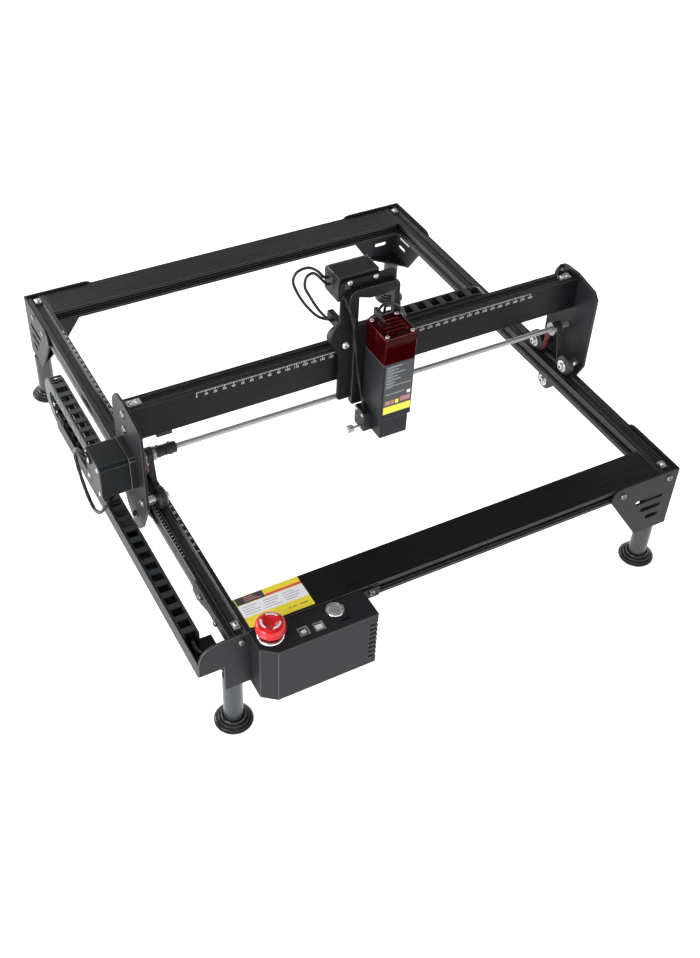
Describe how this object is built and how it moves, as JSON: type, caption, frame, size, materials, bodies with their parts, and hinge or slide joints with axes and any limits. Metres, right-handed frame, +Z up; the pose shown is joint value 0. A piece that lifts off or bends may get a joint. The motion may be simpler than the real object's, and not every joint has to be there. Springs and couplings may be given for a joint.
{
  "type": "desktop laser cutter",
  "caption": "Open-frame desktop laser cutter: gantry rolls on side rails, carriage rolls on its beam, laser head on a sliding bracket, control box with emergency stop, on four legs.",
  "frame": {"origin": "middle of the bounding box on the floor, without the leads", "axes": "+X along the gantry beam towards the right side as seen from the control box, +Y from the front beam to the rear beam, +Z up"},
  "size_m": [0.5913, 0.641, 0.3536],
  "materials": {
    "black_anodised": "satin",
    "black_powder": "satin",
    "black_plastic": "satin",
    "belt_rubber": "matte",
    "bright_steel": "satin",
    "chrome": "polished",
    "leg_aluminium": "satin",
    "red_plastic": "polished",
    "red_acrylic": "polished",
    "circuit_board": "satin",
    "cable_sheath": "satin"
  },
  "bodies": {
    "frame": {"left_rail": "black_anodised", "right_rail": "black_anodised", "front_beam": "black_anodised", "rear_beam": "black_anodised", "corner_bracket_front_left": "black_powder", "corner_bracket_front_right": "black_powder", "corner_bracket_rear_left": "black_powder", "corner_bracket_rear_right": "black_powder", "leg_front_left": "leg_aluminium", "leg_front_right": "leg_aluminium", "leg_rear_left": "leg_aluminium", "leg_rear_right": "leg_aluminium", "y_belt_left": "belt_rubber", "y_belt_right": "belt_rubber", "chain_tray": "black_powder", "y_chain_lower": "black_plastic", "control_box": "black_powder", "control_box_cover": "black_powder", "control_board": "circuit_board", "estop_collar": "chrome", "box_cable": "cable_sheath"},
    "estop_stem": {"estop_stem": "black_plastic"},
    "estop_button": {"estop_button": "red_plastic"},
    "power_button": {"power_button": "bright_steel"},
    "gantry": {"x_beam": "black_anodised", "gantry_plate_left": "black_powder", "gantry_plate_right": "black_powder", "y_motor": "bright_steel", "y_motor_cover": "black_plastic", "x_chain_lower": "black_plastic", "y_motor_cable": "cable_sheath", "y_chain_upper": "black_plastic"},
    "cross_shaft": {"cross_shaft": "bright_steel", "shaft_coupler": "black_plastic", "drive_pulley_left": "bright_steel", "drive_pulley_right": "bright_steel"},
    "y_chain_bend": {"y_chain_bend": "black_plastic"},
    "x_chain_bend": {"x_chain_bend": "black_plastic"},
    "carriage": {"carriage_plate": "black_powder", "x_motor": "bright_steel", "x_motor_cover": "black_plastic", "x_chain_upper": "black_plastic", "x_loop_outer": "cable_sheath", "x_loop_inner": "cable_sheath", "laser_cable": "cable_sheath", "sensor_cable": "cable_sheath", "slide_bracket": "black_powder"},
    "laser_head": {"laser_body": "black_powder", "laser_cover": "red_acrylic", "laser_hood": "black_powder"},
    "thumbscrew": {"thumbscrew": "bright_steel"},
    "y_wheel_left_front": {"y_wheel_left_front": "black_plastic"},
    "y_wheel_left_rear": {"y_wheel_left_rear": "black_plastic"},
    "y_wheel_left_lower": {"y_wheel_left_lower": "black_plastic"},
    "y_wheel_right_front": {"y_wheel_right_front": "black_plastic"},
    "y_wheel_right_rear": {"y_wheel_right_rear": "black_plastic"},
    "y_wheel_right_lower": {"y_wheel_right_lower": "black_plastic"},
    "x_wheel_left": {"x_wheel_left": "black_plastic"},
    "x_wheel_right": {"x_wheel_right": "black_plastic"},
    "x_wheel_lower": {"x_wheel_lower": "black_plastic"}
  },
  "joints": [
    {"name": "y_slide", "type": "slide", "parent": "frame", "child": "gantry", "axis": [0, 1, 0], "range_m": [-0.14, 0.28]},
    {"name": "x_slide", "type": "slide", "parent": "gantry", "child": "carriage", "axis": [1, 0, 0], "range_m": [-0.2, 0.2]},
    {"name": "laser_height", "type": "slide", "parent": "carriage", "child": "laser_head", "axis": [0, 0, 1], "range_m": [-0.02, 0.03], "deforming": ["laser_cable", "sensor_cable"]},
    {"name": "clamp_screw", "type": "hinge", "parent": "laser_head", "child": "thumbscrew", "pos_m": [-0.0128, -0.103, 0.1695], "axis": [1, 0, 0], "continuous": true},
    {"name": "shaft_spin", "type": "hinge", "parent": "gantry", "child": "cross_shaft", "pos_m": [-0.2328, -0.0665, 0.187], "axis": [1, 0, 0], "continuous": true},
    {"name": "y_chain_roll", "type": "slide", "parent": "gantry", "child": "y_chain_bend", "axis": [0, 1, 0], "range_m": [-0.14, 0.07], "deforming": ["y_chain_upper"]},
    {"name": "x_chain_roll", "type": "slide", "parent": "carriage", "child": "x_chain_bend", "axis": [1, 0, 0], "range_m": [-0.1, 0.1], "deforming": ["x_chain_upper"]},
    {"name": "estop_press", "type": "slide", "parent": "frame", "child": "estop_stem", "axis": [0, 0, -1], "range_m": [0, 0.004], "stiffness_N_per_m": 1500},
    {"name": "estop_twist", "type": "hinge", "parent": "estop_stem", "child": "estop_button", "pos_m": [-0.2088, -0.2995, 0.152], "axis": [0, 0, -1], "range_deg": [0, 30], "stiffness_Nm_per_rad": 0.05},
    {"name": "power_press", "type": "slide", "parent": "frame", "child": "power_button", "axis": [0, 0, -1], "range_m": [0, 0.0015], "stiffness_N_per_m": 800},
    {"name": "y_wheel_left_front_spin", "type": "hinge", "parent": "gantry", "child": "y_wheel_left_front", "pos_m": [-0.2328, -0.0945, 0.1519], "axis": [1, 0, 0], "continuous": true},
    {"name": "y_wheel_left_rear_spin", "type": "hinge", "parent": "gantry", "child": "y_wheel_left_rear", "pos_m": [-0.2328, -0.0385, 0.1519], "axis": [1, 0, 0], "continuous": true},
    {"name": "y_wheel_left_lower_spin", "type": "hinge", "parent": "gantry", "child": "y_wheel_left_lower", "pos_m": [-0.2328, -0.0665, 0.1121], "axis": [1, 0, 0], "continuous": true},
    {"name": "y_wheel_right_front_spin", "type": "hinge", "parent": "gantry", "child": "y_wheel_right_front", "pos_m": [0.2712, -0.0945, 0.1519], "axis": [1, 0, 0], "continuous": true},
    {"name": "y_wheel_right_rear_spin", "type": "hinge", "parent": "gantry", "child": "y_wheel_right_rear", "pos_m": [0.2712, -0.0385, 0.1519], "axis": [1, 0, 0], "continuous": true},
    {"name": "y_wheel_right_lower_spin", "type": "hinge", "parent": "gantry", "child": "y_wheel_right_lower", "pos_m": [0.2712, -0.0665, 0.1121], "axis": [1, 0, 0], "continuous": true},
    {"name": "x_wheel_left_spin", "type": "hinge", "parent": "carriage", "child": "x_wheel_left", "pos_m": [-0.0158, -0.0615, 0.2629], "axis": [0, 1, 0], "continuous": true},
    {"name": "x_wheel_right_spin", "type": "hinge", "parent": "carriage", "child": "x_wheel_right", "pos_m": [0.0292, -0.0615, 0.2629], "axis": [0, 1, 0], "continuous": true},
    {"name": "x_wheel_lower_spin", "type": "hinge", "parent": "carriage", "child": "x_wheel_lower", "pos_m": [0.0072, -0.0615, 0.2041], "axis": [0, 1, 0], "continuous": true}
  ],
  "couplings": [
    {"joint": "shaft_spin", "follows": "y_slide", "rad_per_m": 156.25},
    {"joint": "y_chain_roll", "follows": "y_slide", "ratio": -0.5},
    {"joint": "x_chain_roll", "follows": "x_slide", "ratio": -0.5},
    {"joint": "y_wheel_left_front_spin", "follows": "y_slide", "rad_per_m": -95.24},
    {"joint": "y_wheel_left_rear_spin", "follows": "y_slide", "rad_per_m": -95.24},
    {"joint": "y_wheel_left_lower_spin", "follows": "y_slide", "rad_per_m": 95.24},
    {"joint": "y_wheel_right_front_spin", "follows": "y_slide", "rad_per_m": -95.24},
    {"joint": "y_wheel_right_rear_spin", "follows": "y_slide", "rad_per_m": -95.24},
    {"joint": "y_wheel_right_lower_spin", "follows": "y_slide", "rad_per_m": 95.24},
    {"joint": "x_wheel_left_spin", "follows": "x_slide", "rad_per_m": 95.24},
    {"joint": "x_wheel_right_spin", "follows": "x_slide", "rad_per_m": 95.24},
    {"joint": "x_wheel_lower_spin", "follows": "x_slide", "rad_per_m": -95.24}
  ]
}
